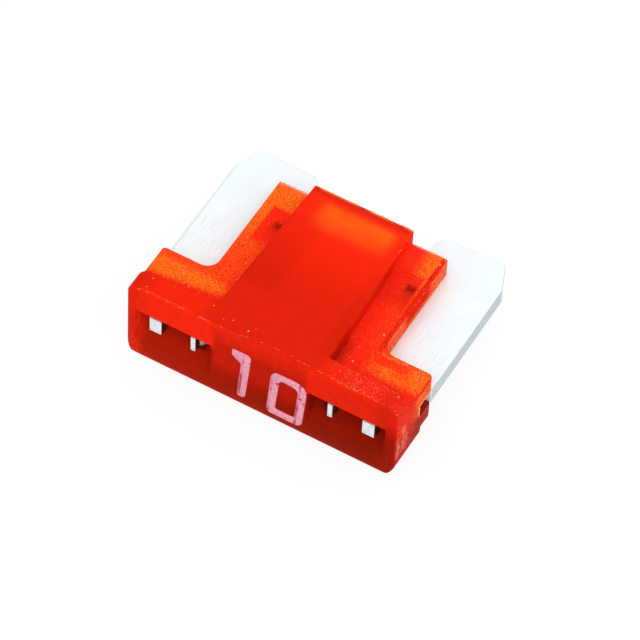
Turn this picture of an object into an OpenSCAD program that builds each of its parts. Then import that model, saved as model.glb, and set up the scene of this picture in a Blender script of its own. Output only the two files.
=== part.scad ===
// Low-profile blade fuse: one moulded translucent housing over one stamped metal element.
// The fuse lies flat. X runs across the head, Y from the numbered face to the blade tips and
// Z through the thickness. The middle of the footprint is at the origin.

/* [Overall] */
// Width across the head and over the outer edges of the blades
overall_w = 10.9; // [10:0.1:13]
// Length from the numbered face to the blade tips
overall_l = 8.73; // [8.4:0.01:11]
// Thickness of the head and of the central block
body_t = 3.81; // [3.5:0.01:5]

/* [Housing] */
// Length of the housing from the numbered face to its far end
body_l = 7.3; // [6.8:0.05:8]
// Length of the thick head bar on the upper side
head_upper_l = 0.88; // [0.6:0.02:1.6]
// Length of the thick head bar on the lower side
head_lower_l = 2; // [1:0.05:2.4]
// Distance from the numbered face to the far edge of the shoulders
shoulder_l = 2.6; // [2.6:0.05:3.4]
// Drop from the head to the shoulders and ears, on both sides
step_h = 0.75; // [0.4:0.01:0.9]
// How far each ear reaches over its blade
ear_cover = 1.02; // [0.85:0.01:1.4]
// Width of the central block where it leaves the head
block_near_w = 4.5; // [4.2:0.05:4.8]
// Width of the central block at its far end
block_far_w = 4; // [3.8:0.05:4.6]

/* [Moulded edges] */
// Radius of the fillets where the ears meet the shoulders
fillet_r = 0.5; // [0.2:0.05:0.9]
// Radius at the top and bottom of the head's ends
end_r = 0.6; // [0.2:0.05:0.8]
// Radius of the upright front corners of the head
corner_r = 0.35; // [0.1:0.05:0.8]
// Radius of the long front edges of the head
front_r = 0.2; // [0.05:0.05:0.4]
// Radius of the block's far edges
far_r = 0.12; // [0.05:0.01:0.25]
// Radius of the far corners of the shoulders
shoulder_r = 0.2; // [0.1:0.01:0.3]
// Radius of the far corners of the ears
ear_r = 0.06; // [0.04:0.01:0.15]
// Chamfer along the sides of the block
edge_c = 0.1; // [0.05:0.01:0.2]
// How far each end leans in, from the parting line to the faces
end_draft = 0.07; // [0.02:0.01:0.15]

/* [Inside of the housing] */
// Thickness of the wall behind the number
front_wall = 0.8; // [0.5:0.05:1.2]
// Thickness of the chamber's wall at the far end
far_wall = 0.4; // [0.25:0.05:0.8]
// Thickness of the block's roof and floor over the chamber
roof_t = 0.6; // [0.4:0.05:0.9]
// Thickness of the block's side walls beside the chamber
side_wall = 0.5; // [0.3:0.05:0.6]
// Distance from the numbered face to the gate that the fuse link passes
gate_l = 2.7; // [2.2:0.05:3.2]
// Thickness of the plastic at each end of the head
end_wall = 0.45; // [0.3:0.05:0.6]
// Distance from the numbered face to the open slot in each end
end_slot_l = 2.5; // [1.6:0.05:2.55]
// How far each test window reaches past the inner edge of its blade
window_reach = 0.45; // [0.4:0.05:0.7]
// Height of each test window's lip over the middle plane
window_up = 0.65; // [0.55:0.05:0.8]
// Drop from the middle plane to the foot of each test window's sloping floor
window_down = 1; // [0.6:0.05:1.2]
// Depth of each test window under its lip
window_d = 1.05; // [0.9:0.05:1.4]

/* [Stakes] */
// Width of each stake
stake_w = 0.48; // [0.3:0.02:0.6]
// Length of each stake
stake_l = 0.75; // [0.4:0.05:1.2]
// Distance from the numbered face to the middle of the stakes
stake_y = 5.5; // [5.2:0.05:5.8]
// Thickness of plastic left between a stake's pit and the slot
pit_floor = 0.22; // [0.1:0.02:0.4]
// How far each stake is pressed into the slot
stake_press = 0.45; // [0.2:0.05:0.6]

/* [Element] */
// Thickness of the metal
blade_t = 0.7; // [0.6:0.01:0.9]
// Width of each blade
blade_w = 3.05; // [2.7:0.05:3.2]
// Length of the taper on the outer edge of a blade tip
tip_taper_l = 1.05; // [0.5:0.05:1.3]
// Width of the taper on the outer edge of a blade tip
tip_taper_w = 0.45; // [0.2:0.05:0.8]
// Chamfer on the inner corner of a blade tip
tip_c = 0.38; // [0.2:0.02:0.6]
// Depth of the stake notch in the inner edge of a blade
notch_w = 0.7; // [0.64:0.02:0.8]
// Length of the stake notch
notch_l = 1.65; // [1.3:0.05:1.8]
// Distance from the numbered face to the root of the test prongs
root_l = 1.1; // [0.9:0.05:1.5]
// Distance from the numbered face to the ends of the test prongs
prong_gap = 0.16; // [0:0.02:0.2]
// Width of the outer test prong
outer_prong_w = 0.49; // [0.3:0.01:0.7]
// Distance from the outer prong to the outer edge of the root
outer_prong_inset = 0.45; // [0.1:0.05:0.8]
// Width of the inner test prong
inner_prong_w = 0.2; // [0.16:0.01:0.5]
// Distance from the inner prong to the inner edge of the blade
inner_prong_inset = 0.25; // [0.1:0.05:0.5]
// Distance from the end of the inner prong to the shoulder beside it
prong_shoulder = 0.3; // [0.1:0.05:0.4]
// How far that shoulder slopes back to the inner edge of the blade
shoulder_slope = 0.25; // [0.05:0.05:0.3]

/* [Fuse link] */
// Thickness of the fuse link
link_t = 0.35; // [0.2:0.01:0.5]
// Width of the strip that forms the link
link_w = 0.45; // [0.35:0.01:0.6]
// Radius of the link's arch to the middle of the strip
arch_r = 1; // [0.8:0.05:1.1]
// Length of the straight legs under the arch
leg_l = 0.8; // [0.6:0.05:1.2]
// Distance from the gate to the feet of the link
foot_gap = 0.5; // [0.2:0.05:0.7]
// Width left at the neck that melts
neck_w = 0.25; // [0.15:0.01:0.3]
// Radius of the two nicks that form the neck
nick_r = 0.3; // [0.2:0.02:0.5]

/* [Fits] */
// Gap between the metal and the walls of its slot
seat_gap = 0.03; // [0.01:0.01:0.08]

/* [Hidden] */
$fn = 64;
housing_colour = "#e3260e";
metal_colour = "#dfe4e8";
// How far a cut runs past the face that it opens
overrun = 0.3;

half_w = overall_w / 2;
mid_z = body_t / 2;
blade_in_x = half_w - blade_w;
ears_w = 2 * (blade_in_x + ear_cover);
block_l = body_l - head_upper_l;
block_lean = atan((block_near_w - block_far_w) / 2 / block_l);
chamber_w = block_far_w - 2 * side_wall;
slot_h = blade_t + 2 * seat_gap;
slot_x = blade_in_x - seat_gap;
window_in_x = blade_in_x - window_reach;
window_out_x = half_w - end_wall;
stake_x = blade_in_x + notch_w / 2;
pit_z = mid_z - slot_h / 2 - pit_floor;
root_out_x = window_out_x - seat_gap;
inner_x = blade_in_x + inner_prong_inset;
outer_x = root_out_x - outer_prong_inset - outer_prong_w;
blade_step_y = end_slot_l + seat_gap;
foot_y = gate_l + foot_gap;
arch_y = foot_y + leg_l;

// Half the width of the block at a distance from the numbered face
function block_half(y) = block_near_w / 2 - (y - head_upper_l) * tan(block_lean);

// The middle of the footprint goes to the origin
module on_origin() {
    translate([0, -overall_l / 2, 0]) children();
}

module both_sides() {
    children();
    mirror([1, 0, 0]) children();
}

// A box between two limits on each axis
module box(x, y, z) {
    translate([x[0], y[0], z[0]]) cube([x[1] - x[0], y[1] - y[0], z[1] - z[0]]);
}

// A box of the slot's height about the middle plane
module slot_box(x, y) {
    box(x, y, [mid_z - slot_h / 2, mid_z + slot_h / 2]);
}

// A strip as wide as w, from Y = 0 to l, with both far corners rounded
module far_rounded(w, l, r) {
    translate([-w / 2, 0]) square([w, l - r]);
    translate([r - w / 2, 0]) square([w - 2 * r, l]);
    for (side = [-1, 1]) translate([side * (w / 2 - r), l - r]) circle(r);
}

// Outline of the shoulders and ears, seen from above
module low_outline() {
    far_rounded(overall_w, shoulder_l, shoulder_r);
    far_rounded(ears_w, body_l, ear_r);
    both_sides() notch_fillet();
}

// Inside corner between an ear and a shoulder
module notch_fillet() {
    translate([ears_w / 2, shoulder_l]) difference() {
        translate([-overrun, -overrun]) square(fillet_r + overrun);
        translate([fillet_r, fillet_r]) circle(fillet_r);
    }
}

// Outline of the head bar and the tapered block, seen from above
module tee_outline(head_l) {
    translate([-half_w, 0]) square([overall_w, head_l]);
    polygon([
        [-block_near_w / 2, head_upper_l],
        [block_near_w / 2, head_upper_l],
        [block_far_w / 2, body_l],
        [-block_far_w / 2, body_l]
    ]);
    translate([-block_near_w / 2, 0]) square([block_near_w, head_upper_l]);
}

// Chamfer along one upper side of the block, from the head bar to the far end
module block_chamfer(head_l) {
    translate([block_half(head_l), head_l, body_t])
        rotate([0, 0, block_lean])
            rotate([-90, 0, 0])
                linear_extrude(body_l)
                    polygon([
                        [-edge_c - overrun, -overrun],
                        [overrun, -overrun],
                        [overrun, edge_c + overrun]
                    ]);
}

// Upper half of the thick tee: the head bar and the block
module half_tee(head_l) {
    difference() {
        translate([0, 0, mid_z]) linear_extrude(mid_z) tee_outline(head_l);
        both_sides() block_chamfer(head_l);
    }
}

// Outline of the head from the front: each end leans in from the parting line
module end_outline() {
    normal = [mid_z, end_draft] / norm([mid_z, end_draft]);
    centre_x = half_w - end_draft - end_r * (1 - normal[1]) / normal[0];
    both_sides() {
        polygon([
            [0, 0],
            [centre_x, 0],
            [centre_x + end_r * normal[0], end_r - end_r * normal[1]],
            [half_w, mid_z],
            [centre_x + end_r * normal[0], body_t - end_r + end_r * normal[1]],
            [centre_x, body_t],
            [0, body_t]
        ]);
        for (z = [end_r, body_t - end_r]) translate([centre_x, z]) circle(end_r);
    }
}

// Outline of the housing from the side: long front edges and far edges are rounded
module side_outline() {
    translate([front_r, 0]) square([body_l - front_r - far_r, body_t]);
    translate([0, front_r]) square([body_l / 2, body_t - 2 * front_r]);
    translate([body_l / 2, far_r]) square([body_l / 2, body_t - 2 * far_r]);
    for (z = [front_r, body_t - front_r]) translate([front_r, z]) circle(front_r);
    for (z = [far_r, body_t - far_r]) translate([body_l - far_r, z]) circle(far_r);
}

// The housing before it is hollowed: its forms inside its three rounded outlines
module housing_form() {
    intersection() {
        union() {
            translate([0, 0, step_h]) linear_extrude(body_t - 2 * step_h) low_outline();
            half_tee(head_upper_l);
            translate([0, 0, body_t]) mirror([0, 0, 1]) half_tee(head_lower_l);
        }
        translate([0, body_l, 0]) mirror([0, 1, 0])
            linear_extrude(body_t) far_rounded(overall_w, body_l, corner_r);
        translate([0, body_l, 0]) rotate([90, 0, 0]) linear_extrude(body_l) end_outline();
        translate([-half_w, 0, 0]) rotate([90, 0, 90]) linear_extrude(overall_w) side_outline();
    }
}

// Hollow of one test window: deepest under its lip, with a floor that slopes out to the face
module window_hollow() {
    slope = (window_up + window_down) / window_d;
    translate([window_in_x, 0, mid_z]) rotate([90, 0, 90])
        linear_extrude(window_out_x - window_in_x)
            polygon([
                [-overrun, window_up],
                [window_d, window_up],
                [-overrun, -window_down - overrun * slope]
            ]);
}

// Room for one blade, its root and its test prongs
module blade_room() {
    window_hollow();
    slot_box([slot_x, inner_x + inner_prong_w + seat_gap], [0, root_l]);
    slot_box([outer_x - seat_gap, outer_x + outer_prong_w + seat_gap], [0, root_l]);
    slot_box([slot_x, window_out_x], [root_l - seat_gap, body_l + overrun]);
    slot_box([slot_x, half_w + overrun], [end_slot_l, body_l + overrun]);
}

// Plastic pressed into the stake notch of one blade, from the lower wall of the slot
module stake_lug() {
    wall_z = mid_z - slot_h / 2;
    box([stake_x - stake_w / 2, stake_x + stake_w / 2],
        [stake_y - stake_l / 2, stake_y + stake_l / 2],
        [wall_z - pit_floor, wall_z + stake_press]);
}

// Pit that the staking punch leaves in the underside of one ear
module stake_pit() {
    box([stake_x - stake_w / 2, stake_x + stake_w / 2],
        [stake_y - stake_l / 2, stake_y + stake_l / 2],
        [0, pit_z]);
}

// Everything that the element slides into from the far end
module element_room() {
    difference() {
        union() {
            both_sides() blade_room();
            slot_box([-blade_in_x, blade_in_x], [gate_l, body_l + overrun]);
        }
        both_sides() stake_lug();
    }
}

// Chamber round the fuse link
module chamber() {
    box([-chamber_w / 2, chamber_w / 2], [front_wall, body_l - far_wall], [roof_t, body_t - roof_t]);
}

module housing() {
    color(housing_colour) on_origin() difference() {
        housing_form();
        element_room();
        chamber();
        both_sides() stake_pit();
    }
}

// Outline of one blade, with its stake notch, root and test prongs
module blade_outline() {
    shoulder_y = prong_gap + prong_shoulder;
    difference() {
        polygon([
            [blade_in_x, shoulder_y + shoulder_slope],
            [inner_x, shoulder_y],
            [inner_x, root_l],
            [root_out_x, root_l],
            [root_out_x, blade_step_y],
            [half_w, blade_step_y],
            [half_w, overall_l - tip_taper_l],
            [half_w - tip_taper_w, overall_l],
            [blade_in_x + tip_c, overall_l],
            [blade_in_x, overall_l - tip_c]
        ]);
        translate([blade_in_x - overrun, stake_y - notch_l / 2]) square([notch_w + overrun, notch_l]);
    }
    translate([outer_x, prong_gap]) square([outer_prong_w, root_l - prong_gap]);
    translate([inner_x, prong_gap]) square([inner_prong_w, root_l - prong_gap]);
}

// Outline of the fuse link: an arch on two legs, with a nicked neck at its crown
module link_outline() {
    difference() {
        translate([0, arch_y]) circle(arch_r + link_w / 2);
        translate([0, arch_y]) circle(arch_r - link_w / 2);
        translate([-half_w, arch_y - overall_w]) square([overall_w, overall_w]);
        for (side = [-1, 1])
            translate([0, arch_y + arch_r + side * (neck_w / 2 + nick_r)]) circle(nick_r);
    }
    both_sides() {
        translate([arch_r - link_w / 2, foot_y]) square([link_w, leg_l]);
        translate([arch_r - link_w / 2, foot_y]) square([blade_in_x - arch_r + link_w, link_w]);
    }
}

// A flat outline made as thick as t about the middle plane
module about_middle(t) {
    translate([0, 0, mid_z - t / 2]) linear_extrude(t) children();
}

module fuse_element() {
    color(metal_colour) on_origin() {
        about_middle(blade_t) both_sides() blade_outline();
        about_middle(link_t) link_outline();
    }
}

housing();
fuse_element();
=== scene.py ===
import math
from functools import cached_property

import bmesh
import bpy
from bpy.props import FloatProperty, FloatVectorProperty, IntProperty, PointerProperty
from mathutils import Matrix, Vector, noise


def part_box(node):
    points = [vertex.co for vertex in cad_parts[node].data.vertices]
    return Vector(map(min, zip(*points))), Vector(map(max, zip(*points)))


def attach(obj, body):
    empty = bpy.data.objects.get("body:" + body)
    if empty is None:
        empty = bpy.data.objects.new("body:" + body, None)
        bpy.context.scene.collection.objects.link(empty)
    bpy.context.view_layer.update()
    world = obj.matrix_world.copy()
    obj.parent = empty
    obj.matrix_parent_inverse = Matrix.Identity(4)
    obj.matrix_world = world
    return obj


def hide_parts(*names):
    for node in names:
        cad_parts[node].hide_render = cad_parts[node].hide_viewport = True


bl_info = {
    "name": "Blade Fuse",
    "version": (1, 0, 0),
    "blender": (4, 5, 0),
    "location": "3D View > Sidebar > Blade Fuse",
    "description": "Moulded housing, stamped element, number and stage of a low-profile blade fuse",
    "category": "Object",
}

MM = 0.001
BODY = "root"

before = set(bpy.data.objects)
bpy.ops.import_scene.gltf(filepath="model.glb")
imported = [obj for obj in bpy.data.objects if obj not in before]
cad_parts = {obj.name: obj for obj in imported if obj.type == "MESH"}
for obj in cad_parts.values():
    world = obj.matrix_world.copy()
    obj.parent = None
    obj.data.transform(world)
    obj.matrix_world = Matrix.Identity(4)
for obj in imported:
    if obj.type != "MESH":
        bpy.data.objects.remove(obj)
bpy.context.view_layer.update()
housing_low, housing_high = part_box("housing")

# Places on the housing in millimetres, repeated from the part's source.
# Lengths run from the numbered face, widths from the middle, heights from the floor.
FACE_Y = housing_low.y / MM
TOP_Z = housing_high.z / MM
MID_Z = TOP_Z / 2
HEAD_L = 0.88
SHOULDER_L = 2.6
BODY_L = (housing_high.y - housing_low.y) / MM
END_X = housing_high.x / MM
EAR_X = 3.42
BLOCK_NEAR_X = 2.25
BLOCK_FAR_X = 2.0
EAR_Z = 3.06
FRONT_R = 0.2
LIP_Z = 2.555
SLOT_H = 0.76
WINDOW_IN_X = 1.95
WINDOW_OUT_X = 5.0
PRONG_ROOT_L = 1.1

# Where the slot in each end starts. It is cut further forward here than in the part's source.
END_SLOT_L = 1.72

# Middles of the two figures.
ONE_X = -0.57
ZERO_X = 1.16

# Limits for the meshes: edges that stay sharp, faces that count as flat, points that are joined,
# and how much of a slot's height, from its middle, keeps its edges sharp.
SQUARE = math.radians(50)
FLAT = math.radians(0.5)
JOIN_GAP = 0.0005 * MM
SLOT_SHARE = 0.51
BEVEL_STEPS = 2

# Depth of the grain of a surface.
BUMP_DEPTH = 0.01 * MM


class Value:
    """One socket of a node tree. Arithmetic on it adds Math nodes."""

    def __init__(self, tree, socket):
        self.tree = tree
        self.socket = socket

    def maths(self, operation, *values):
        return self.tree.make("ShaderNodeMath", {"operation": operation}, dict(enumerate(values)))

    def __add__(self, other):
        return self.maths("ADD", self, other)

    def __radd__(self, other):
        return self.maths("ADD", other, self)

    def __sub__(self, other):
        return self.maths("SUBTRACT", self, other)

    def __rsub__(self, other):
        return self.maths("SUBTRACT", other, self)

    def __mul__(self, other):
        return self.maths("MULTIPLY", self, other)

    def __rmul__(self, other):
        return self.maths("MULTIPLY", other, self)

    def __abs__(self):
        return self.maths("ABSOLUTE", self)

    def least(self, other):
        return self.maths("MINIMUM", self, other)

    def most(self, other):
        return self.maths("MAXIMUM", self, other)

    def above(self, limit):
        return self.maths("GREATER_THAN", self, limit)

    def between(self, low, high):
        """From low where the value is 0 to high where it is 1."""
        return low + (high - low) * self

    def step(self, low, high):
        """Smooth rise from 0 at low to 1 at high."""
        return self.tree.make(
            "ShaderNodeMapRange",
            {"interpolation_type": "SMOOTHSTEP"},
            {"Value": self, "From Min": low, "From Max": high},
        )

    def over(self, place):
        """1 inside a place and 0 outside it.

        Two numbers are a rise from the first to the second, or a fall where the first is higher. Three
        are a band and the soft width outside it. Four are a rise and then a fall.
        """
        if len(place) == 4:
            return self.step(*place[:2]) * (1 - self.step(*place[2:]))
        if len(place) == 3:
            low, high, soft = place
            return self.step(low - soft, low) * (1 - self.step(high, high + soft))
        first, second = place
        return self.step(first, second) if first < second else 1 - self.step(second, first)


class Tree:
    """A node tree while it is being built."""

    def __init__(self, node_tree):
        self.nodes = node_tree.nodes
        self.links = node_tree.links
        self.nodes.clear()

    def make(self, kind, settings=None, inputs=None, output=0):
        """Adds a node, sets its settings, then its sockets, and gives back one output."""
        node = self.nodes.new(kind)
        for name, setting in (settings or {}).items():
            setattr(node, name, setting)
        for name, given in (inputs or {}).items():
            if isinstance(given, Value):
                self.links.new(given.socket, node.inputs[name])
            else:
                node.inputs[name].default_value = given
        if not node.outputs:
            return node
        return Value(self, node.outputs[output])

    def also(self, value, output):
        """Another output of the node that a value comes from."""
        return Value(self, value.socket.node.outputs[output])

    def mix(self, factor, first, second):
        """A colour between two colours."""
        return self.make("ShaderNodeMix", {"data_type": "RGBA"}, {0: factor, 6: first, 7: second}, 2)

    def axes(self, vector):
        """X, Y and Z of a vector."""
        x = self.make("ShaderNodeSeparateXYZ", None, {0: vector})
        return x, self.also(x, 1), self.also(x, 2)

    def noise(self, vector, scale, detail=2.0, roughness=0.5, squeeze=None, cut=None):
        """Noise between 0 and 1. Squeeze scales the vector first, and cut is a smooth rise after it."""
        if squeeze:
            vector = self.make("ShaderNodeVectorMath", {"operation": "MULTIPLY"}, {0: vector, 1: squeeze})
        grown = self.make(
            "ShaderNodeTexNoise",
            None,
            {"Vector": vector, "Scale": scale, "Detail": detail, "Roughness": roughness},
        )
        return grown.step(*cut) if cut else grown

    def bump(self, strength, height):
        """A normal turned by the slopes of a height."""
        return self.make(
            "ShaderNodeBump", None, {"Strength": strength, "Distance": BUMP_DEPTH, "Height": height}
        )

    def principled(self, inputs):
        return self.make("ShaderNodeBsdfPrincipled", None, inputs)


def shader_tree(owner):
    """An empty tree for a material or a world."""
    owner.use_nodes = True
    return Tree(owner.node_tree)


class Spot:
    """Where a point of the surface lies, in millimetres, and which way it faces."""

    SHIFT = 0.25
    SLANT = 0.12
    LEVEL = (0.55, 0.8)

    def __init__(self, tree):
        point = tree.make("ShaderNodeTexCoord", output="Object")
        self.vector = tree.make(
            "ShaderNodeVectorMath", {"operation": "SCALE"}, {"Vector": point, "Scale": 1 / MM}
        )
        self.x, y, self.z = tree.axes(self.vector)
        self.along = y - FACE_Y
        self.face_x, self.face_y, self.face_z = tree.axes(tree.also(point, "Normal"))

    @cached_property
    def side(self):
        """Distance from the middle, to either side."""
        return abs(self.x)

    @cached_property
    def height(self):
        """Distance from the middle of the thickness, up or down."""
        return abs(self.z - MID_Z)

    @cached_property
    def seen(self):
        """Distance from the middle of the metal, which shows further right through the plastic."""
        return abs(self.x - self.SHIFT)

    @cached_property
    def slant(self):
        """Length along the fuse, on lines that slant to the right."""
        return self.along - self.SLANT * (self.x + END_X)

    @cached_property
    def level(self):
        """1 on faces that look up or down, 0 on upright ones."""
        return abs(self.face_z).over(self.LEVEL)


def new_material(name):
    """A new material, its tree, and the spot that its paint goes by."""
    material = bpy.data.materials.new(name)
    tree = shader_tree(material)
    return material, tree, Spot(tree)


class Mark:
    """A patch of paint: its strength, and the places of a Spot's measures that it lies in."""

    def __init__(self, strength, **places):
        self.strength = strength
        self.places = places

    def on(self, spot):
        amount = self.strength
        for measure, place in self.places.items():
            amount = amount * getattr(spot, measure).over(place)
        return amount


def painted(spot, base, marks):
    """A base value with marks laid on it."""
    for mark in marks.values():
        base = base + mark.on(spot)
    return base


def opaque(colour, share=1.0):
    """A colour property as a socket's four numbers, lighter or darker by a share."""
    return (*(min(1.0, c * share) for c in colour), 1.0)


def object_from(name, mesh):
    """A new object at the origin, in the scene."""
    piece = bpy.data.objects.new(name, mesh)
    bpy.context.scene.collection.objects.link(piece)
    return piece


def applied(piece):
    """The piece with its modifiers made part of its mesh."""
    bpy.context.view_layer.update()
    shaped = bpy.data.meshes.new_from_object(piece.evaluated_get(bpy.context.evaluated_depsgraph_get()))
    piece.modifiers.clear()
    piece.data = shaped
    return piece


def smooth_piece(name, work, material):
    """An object from a bmesh, shaded smooth with its flat faces and square edges kept."""
    for face in work.faces:
        face.smooth = True
    for edge in work.edges:
        edge.smooth = edge.calc_face_angle() < SQUARE
    mesh = bpy.data.meshes.new(name)
    work.to_mesh(mesh)
    work.free()
    mesh.materials.append(material)
    piece = object_from(name, mesh)
    weigh = piece.modifiers.new("weigh", "WEIGHTED_NORMAL")
    weigh.weight = 100
    weigh.keep_sharp = True
    return applied(piece)


def cut_away(work, boxes):
    """A bmesh with boxes, each given by its lowest and highest corner, cut out of it."""
    cutter = bmesh.new()
    for low, high in boxes:
        middle, size = (Vector(low) + Vector(high)) / 2, Vector(high) - Vector(low)
        place = Matrix.Translation(middle * MM) @ Matrix.Diagonal((*(size * MM), 1))
        bmesh.ops.create_cube(cutter, size=1.0, matrix=place)
    meshes = [bpy.data.meshes.new(name) for name in ("uncut", "cutter")]
    for mesh, source in zip(meshes, (work, cutter)):
        source.to_mesh(mesh)
        source.free()
    piece, tool = (object_from(mesh.name, mesh) for mesh in meshes)
    cut = piece.modifiers.new("cut", "BOOLEAN")
    cut.object = tool
    cut.solver = "EXACT"
    result = bmesh.new()
    result.from_mesh(applied(piece).data)
    for done in (piece, tool):
        bpy.data.objects.remove(done)
    return result


def softened_copy(node, name, look, material, slot_h=0.0, cuts=()):
    """A copy of a CAD node with its triangles joined and its sharp edges rounded off.

    Edges inside a slot of the given height, half way up, stay sharp. Cuts are boxes to take out of it.
    """
    work = bmesh.new()
    work.from_mesh(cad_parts[node].data)
    bmesh.ops.remove_doubles(work, verts=work.verts, dist=JOIN_GAP)
    bmesh.ops.dissolve_limit(
        work, angle_limit=FLAT, use_dissolve_boundaries=False, verts=work.verts, edges=work.edges
    )
    if cuts:
        work = cut_away(work, cuts)
    middle, inside = housing_high.z / 2, slot_h * SLOT_SHARE
    edges = [e for e in work.edges if e.calc_face_angle() > look.sharp]
    edges = [e for e in edges if max(abs(v.co.z - middle) for v in e.verts) > inside]
    shape = {"segments": BEVEL_STEPS, "profile": 0.5, "affect": "EDGES", "clamp_overlap": False}
    bmesh.ops.bevel(work, geom=edges, offset=look.edge_r, **shape)
    return smooth_piece(name, work, material)


def length_prop(name, description, millimetres):
    return FloatProperty(name=name, description=description, default=millimetres * MM, unit="LENGTH")


def angle_prop(name, description, degrees):
    turn = math.radians(degrees)
    return FloatProperty(name=name, description=description, default=turn, subtype="ANGLE")


def colour_prop(name, description, colour):
    return FloatVectorProperty(
        name=name, description=description, default=colour, subtype="COLOR", size=3, min=0, max=1
    )


class FuseHousing(bpy.types.PropertyGroup):
    edge_r: length_prop("Edge radius", "Rounding of the moulded edges", 0.04)
    sharp: angle_prop("Sharp angle", "Edges sharper than this are rounded", 35)
    red: colour_prop("Red", "Plastic in full light", (0.99, 0.022, 0.0055))
    amber: colour_prop("Amber", "Plastic that lies close over the metal", (1.0, 0.19, 0.0105))
    # Pale colour on the plastic: painted sheen, glints and edge highlights, and pale dust and scratches.
    sheen_and_dust: colour_prop("Bloom", "Pale roughness of the ends and walls", (1.0, 0.36, 0.26))


class FuseElement(bpy.types.PropertyGroup):
    edge_r: length_prop("Edge radius", "Rounding of the stamped edges", 0.03)
    sharp: angle_prop("Sharp angle", "Edges sharper than this are rounded", 20)
    bright: colour_prop("Bright", "Rolled faces of the metal", (0.878, 0.942, 0.962))
    sheared: colour_prop("Sheared", "Cut edges of the metal", (0.42, 0.475, 0.5))
    # Painted shade: dark red for the prong sides in the windows, for their shadow and the red plastic they
    # reflect.
    prong_shade: colour_prop("Hidden", "Sides of the test prongs, deep in the windows", (0.06, 0.006, 0.005))


class FuseNumber(bpy.types.PropertyGroup):
    one_h: length_prop("One height", "Height of the one", 2.48)
    zero_h: length_prop("Zero height", "Height of the zero", 2.38)
    stroke: length_prop("Stroke", "Width of the strokes", 0.33)
    zero_w: length_prop("Zero width", "Width of the zero", 1.43)
    flag: length_prop("Flag", "How far the flag of the one reaches out", 0.42)
    lean: angle_prop("Lean", "Lean of the figures to the right", 4.2)
    relief: length_prop("Relief", "How far the figures stand out of the face", 0.05)
    ink: colour_prop("Ink", "Stamped figures", (0.76, 0.31, 0.39))
    # Dark red of ink wear, also used for the lines of painted shade along the strokes.
    worn_and_shaded: colour_prop("Worn", "Thin and worn places of the ink", (0.42, 0.02, 0.06))


class FuseFlash(bpy.types.PropertyGroup):
    spacing: length_prop("Spacing", "Distance between the slivers along an edge", 0.05)
    length: length_prop("Length", "Half the length of a sliver", 0.04)
    thickness: length_prop("Thickness", "Half the thickness of a sliver", 0.009)
    wander: length_prop("Wander", "How far a sliver strays from the edge", 0.02)
    speck: length_prop("Speck", "Radius of the largest specks", 0.03)
    # The sliver colours stand partly for torn and whitened flash and partly for painted highlights on the
    # edges.
    torn: colour_prop("Torn", "Fine torn flash", (1.0, 0.3, 0.21))
    rim: colour_prop("Rim", "Whitened rims of the far edges and the end slots", (1.0, 0.5, 0.33))
    dust: colour_prop("Dust", "Pale specks on the plastic", (1.0, 0.62, 0.52))
    seed: IntProperty(name="Seed", description="Start of the random draws", default=4)


class FuseStage(bpy.types.PropertyGroup):
    azimuth: angle_prop("Azimuth", "Turn of the camera round the fuse", 27.1)
    elevation: angle_prop("Elevation", "Height of the camera over the floor", 52.4)
    roll: angle_prop("Roll", "Lean of the camera about its own line of sight", 3.5)
    distance: length_prop("Distance", "From the camera to the fuse", 160)
    lens: FloatProperty(name="Lens", description="Focal length in millimetres", default=255.8)
    aim_right: length_prop("Aim right", "How far the aim lies right of the fuse's middle", -0.04)
    aim_up: length_prop("Aim up", "How far the aim lies over the fuse's middle", -0.845)


# Noise of the plastic, the metal, the ink and the flash.
CLOUD = {"scale": 0.9}
MOTTLE = {"scale": 3.5, "detail": 3.0, "roughness": 0.6}
PATCHES = {"scale": 1.3, "cut": (0.36, 0.62)}
GRAIN = {"scale": 20.0, "roughness": 0.6, "cut": (0.38, 0.66)}
DOTS = {"scale": 20.0, "detail": 1.0, "cut": (0.56, 0.68)}
SCRATCHES = {"scale": 6.0, "roughness": 0.6, "squeeze": (1.0, 1.4, 0.25), "cut": (0.42, 0.62)}
FLAKES = {"scale": 7.0, "roughness": 0.6, "squeeze": (1.0, 0.35, 1.5), "cut": (0.42, 0.6)}
STREAKS = {"scale": 4.0, "detail": 3.0, "roughness": 0.6, "squeeze": (6.0, 0.3, 6.0)}
TARNISH = {"scale": 1.2}
PITS = {"scale": 9.0, "detail": 3.0, "roughness": 0.6, "cut": (0.45, 0.68)}
INK_MOTTLE = {"scale": 9.0, "detail": 3.0, "roughness": 0.6, "cut": (0.3, 0.7)}
INK_SPOTS = {"scale": 3.1, "cut": (0.66, 0.7)}
INK_BREAKS = {"scale": 2.3, "cut": (0.38, 0.6)}
PALENESS = {"scale": 6.0, "cut": (0.3, 0.7)}
FLASH_GAPS = {"scale": 4.5 / MM, "roughness": 0.6}

# Halves of the fuse by width: at once, softly, and over the whole width.
LEFT, RIGHT = (0.3, -0.3), (-0.3, 0.3)
SOFT_LEFT, SOFT_RIGHT = (1.0, -1.0), (-1.0, 1.0)
RIGHTWARD = (-5.0, 5.0)

# Shade is the brightness of the red, from black at 0 to the full red at 1. Much of it is painted light and
# shade: paler where light comes in through the plastic, darker where less light arrives.
# Head bar and block from above.
THICK_SHADE = 0.74
THICK_MARKS = {
    "pale ends of the head": Mark(0.14, along=(HEAD_L + 0.1, HEAD_L), side=(2.8, 4.2, 1.0)),
    "pale far half of the block": Mark(0.22, along=(2.4, 6.0)),
    "dark far edge": Mark(-0.25, along=(6.85, 7.1)),
    "dark left edge": Mark(-0.09, x=(-2.3, -1.2, 0.8), along=(2.6, 5.6, 0.6)),
    # Painted shade: the top darkens towards the block's dark right wall.
    "dark right edge": Mark(-0.07, x=(1.95, 2.3, 0.35), along=(1.4, 4.6, 0.9)),
}
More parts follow.
